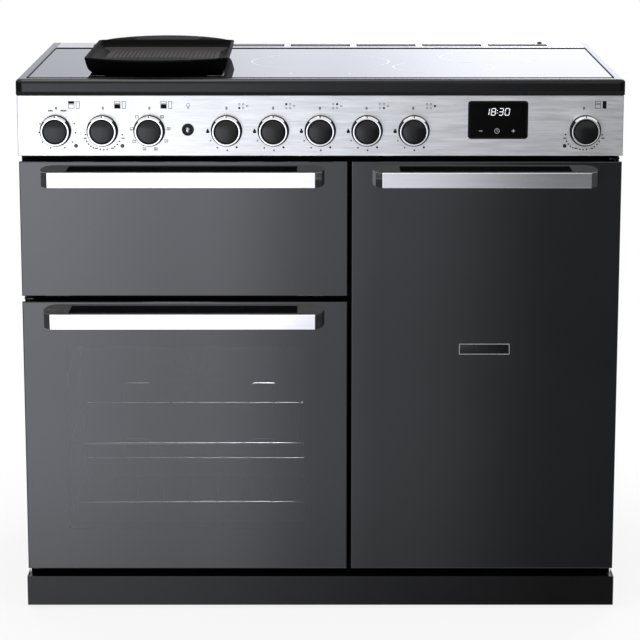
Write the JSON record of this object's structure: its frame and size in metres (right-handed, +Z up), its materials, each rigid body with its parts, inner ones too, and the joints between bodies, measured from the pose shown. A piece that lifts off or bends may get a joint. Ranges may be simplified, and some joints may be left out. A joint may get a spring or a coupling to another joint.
{
  "type": "induction range cooker",
  "caption": "Free-standing induction range cooker with a glass hob, knob fascia, drop-down grill door, windowed oven door, tall oven door, bar handles, plinth and a griddle pan.",
  "frame": {"origin": "on the floor, at the middle of the cooker's width and of its depth from the handles to the hob's rear edge", "axes": "+Z up, front towards -Y, +X to the right as seen from the front"},
  "size_m": [1, 0.63, 0.937],
  "materials": {
    "slate_gloss": "gloss",
    "tinted_glass": "gloss",
    "clear_glass": "gloss",
    "ceramic_glass": "gloss",
    "display_glass": "gloss",
    "brushed_steel": "satin",
    "polished_steel": "polished",
    "black_satin": "satin",
    "black_alloy": "satin",
    "graphite_plastic": "satin",
    "black_plastic": "satin",
    "chrome_trim": "polished",
    "galvanised_steel": "satin",
    "oven_enamel": "gloss",
    "chromed_wire": "polished",
    "heater_sheath": "matte",
    "mineral_wool": "matte",
    "coil_windings": "satin",
    "alloy": "satin",
    "cast_black": "matte",
    "roller_nylon": "satin"
  },
  "bodies": {
    "cabinet": {"base_tray": "galvanised_steel", "coil_tray": "alloy", "control_bezels": "black_plastic", "control_switches": "black_plastic", "display_glass": "display_glass", "fan_baffles": "oven_enamel", "fan_motors": "galvanised_steel", "fascia_panel": "brushed_steel", "front_frame": "black_satin", "grill_liner": "oven_enamel", "heating_elements": "heater_sheath", "hinge_pins": "black_satin", "hob_frame": "black_alloy", "hob_glass": "ceramic_glass", "induction_coils": "coil_windings", "main_oven_liner": "oven_enamel", "oven_insulation": "mineral_wool", "plinth": "black_satin", "power_module": "alloy", "rear_panel": "galvanised_steel", "rear_vent_deck": "brushed_steel", "shelf_ladders": "chromed_wire", "side_panel_left": "black_satin", "side_panel_right": "black_satin", "tall_oven_liner": "oven_enamel", "terminal_cover": "galvanised_steel", "timer_module": "black_plastic"},
    "grill_door": {"grill_door_panel": "slate_gloss", "grill_door_liner": "oven_enamel", "grill_door_handle": "polished_steel"},
    "main_door": {"main_door_glass": "tinted_glass", "main_door_liner": "oven_enamel", "main_inner_glass": "clear_glass", "main_door_handle": "polished_steel"},
    "tall_door": {"tall_door_panel": "slate_gloss", "tall_door_liner": "oven_enamel", "tall_door_handle": "polished_steel"},
    "light_button": {"light_button": "chrome_trim"},
    "griddle": {"griddle_pan": "cast_black"},
    "main_fan": {"main_oven_fan": "galvanised_steel"},
    "tall_fan": {"tall_oven_fan": "galvanised_steel"},
    "cooling_fan": {"hob_fan": "black_plastic"},
    "roller_left": {"rear_roller_left": "roller_nylon"},
    "roller_right": {"rear_roller_right": "roller_nylon"},
    "foot_left": {"front_foot_left": "galvanised_steel"},
    "foot_right": {"front_foot_right": "galvanised_steel"},
    "shelf_main_upper": {"main_shelf_upper": "chromed_wire"},
    "shelf_main_lower": {"main_shelf_lower": "chromed_wire"},
    "shelf_tall_upper": {"tall_shelf_upper": "chromed_wire"},
    "shelf_tall_lower": {"tall_shelf_lower": "chromed_wire"},
    "grill_tray": {"grill_pan": "oven_enamel"},
    "knob_grill": {"knob_grill": "graphite_plastic"},
    "knob_main_oven_heat": {"knob_main_oven_heat": "graphite_plastic"},
    "knob_main_oven_mode": {"knob_main_oven_mode": "graphite_plastic"},
    "knob_hob_front_left": {"knob_hob_front_left": "graphite_plastic"},
    "knob_hob_rear_left": {"knob_hob_rear_left": "graphite_plastic"},
    "knob_hob_centre": {"knob_hob_centre": "graphite_plastic"},
    "knob_hob_front_right": {"knob_hob_front_right": "graphite_plastic"},
    "knob_hob_rear_right": {"knob_hob_rear_right": "graphite_plastic"},
    "knob_tall_oven_heat": {"knob_tall_oven_heat": "graphite_plastic"}
  },
  "joints": [
    {"name": "grill_door_hinge", "type": "hinge", "parent": "cabinet", "child": "grill_door", "pos_m": [-0.22615, -0.258, 0.5603], "axis": [1, 0, 0], "range_deg": [0, 90], "stiffness_Nm_per_rad": 4, "springref_deg": -20.05},
    {"name": "main_door_hinge", "type": "hinge", "parent": "cabinet", "child": "main_door", "pos_m": [-0.4855, -0.248, 0.3028], "axis": [0, 0, -1], "range_deg": [0, 110]},
    {"name": "tall_door_hinge", "type": "hinge", "parent": "cabinet", "child": "tall_door", "pos_m": [0.4855, -0.248, 0.42075], "axis": [0, 0, 1], "range_deg": [0, 110]},
    {"name": "knob_grill_turn", "type": "hinge", "parent": "cabinet", "child": "knob_grill", "pos_m": [-0.4356, -0.2765, 0.822], "axis": [0, 1, 0], "range_deg": [0, 270]},
    {"name": "knob_main_oven_heat_turn", "type": "hinge", "parent": "cabinet", "child": "knob_main_oven_heat", "pos_m": [-0.35854, -0.2765, 0.822], "axis": [0, 1, 0], "range_deg": [0, 270]},
    {"name": "knob_main_oven_mode_turn", "type": "hinge", "parent": "cabinet", "child": "knob_main_oven_mode", "pos_m": [-0.28149, -0.2765, 0.822], "axis": [0, 1, 0], "continuous": true},
    {"name": "knob_hob_front_left_turn", "type": "hinge", "parent": "cabinet", "child": "knob_hob_front_left", "pos_m": [-0.15443, -0.2765, 0.822], "axis": [0, 1, 0], "range_deg": [0, 270]},
    {"name": "knob_hob_rear_left_turn", "type": "hinge", "parent": "cabinet", "child": "knob_hob_rear_left", "pos_m": [-0.07737, -0.2765, 0.822], "axis": [0, 1, 0], "range_deg": [0, 270]},
    {"name": "knob_hob_centre_turn", "type": "hinge", "parent": "cabinet", "child": "knob_hob_centre", "pos_m": [-0.00031, -0.2765, 0.822], "axis": [0, 1, 0], "range_deg": [0, 270]},
    {"name": "knob_hob_front_right_turn", "type": "hinge", "parent": "cabinet", "child": "knob_hob_front_right", "pos_m": [0.07674, -0.2765, 0.822], "axis": [0, 1, 0], "range_deg": [0, 270]},
    {"name": "knob_hob_rear_right_turn", "type": "hinge", "parent": "cabinet", "child": "knob_hob_rear_right", "pos_m": [0.1538, -0.2765, 0.822], "axis": [0, 1, 0], "range_deg": [0, 270]},
    {"name": "knob_tall_oven_heat_turn", "type": "hinge", "parent": "cabinet", "child": "knob_tall_oven_heat", "pos_m": [0.4356, -0.2765, 0.822], "axis": [0, 1, 0], "range_deg": [0, 270]},
    {"name": "light_button_press", "type": "slide", "parent": "cabinet", "child": "light_button", "axis": [0, 1, 0], "range_m": [0, 0.003], "stiffness_N_per_m": 400},
    {"name": "griddle_lift", "type": "slide", "parent": "cabinet", "child": "griddle", "axis": [0, 0, 1], "range_m": [0, 0.15]},
    {"name": "main_fan_spin", "type": "hinge", "parent": "cabinet", "child": "main_fan", "pos_m": [-0.22615, 0.2, 0.30255], "axis": [0, 1, 0], "continuous": true},
    {"name": "tall_fan_spin", "type": "hinge", "parent": "cabinet", "child": "tall_fan", "pos_m": [0.27455, 0.2, 0.4225], "axis": [0, 1, 0], "continuous": true},
    {"name": "cooling_fan_spin", "type": "hinge", "parent": "cabinet", "child": "cooling_fan", "pos_m": [0.33, 0.04, 0.853], "axis": [0, 0, 1], "continuous": true},
    {"name": "roller_left_spin", "type": "hinge", "parent": "cabinet", "child": "roller_left", "pos_m": [-0.4263, 0.255, 0.02], "axis": [1, 0, 0], "continuous": true},
    {"name": "roller_right_spin", "type": "hinge", "parent": "cabinet", "child": "roller_right", "pos_m": [0.4263, 0.255, 0.02], "axis": [1, 0, 0], "continuous": true},
    {"name": "foot_left_extend", "type": "slide", "parent": "cabinet", "child": "foot_left", "axis": [0, 0, -1], "range_m": [0, 0.02]},
    {"name": "foot_right_extend", "type": "slide", "parent": "cabinet", "child": "foot_right", "axis": [0, 0, -1], "range_m": [0, 0.02]},
    {"name": "shelf_main_upper_slide", "type": "slide", "parent": "cabinet", "child": "shelf_main_upper", "axis": [0, -1, 0], "range_m": [0, 0.015]},
    {"name": "shelf_main_lower_slide", "type": "slide", "parent": "cabinet", "child": "shelf_main_lower", "axis": [0, -1, 0], "range_m": [0, 0.015]},
    {"name": "shelf_tall_upper_slide", "type": "slide", "parent": "cabinet", "child": "shelf_tall_upper", "axis": [0, -1, 0], "range_m": [0, 0.015]},
    {"name": "shelf_tall_lower_slide", "type": "slide", "parent": "cabinet", "child": "shelf_tall_lower", "axis": [0, -1, 0], "range_m": [0, 0.015]},
    {"name": "grill_tray_slide", "type": "slide", "parent": "cabinet", "child": "grill_tray", "axis": [0, -1, 0], "range_m": [0, 0.015]}
  ]
}
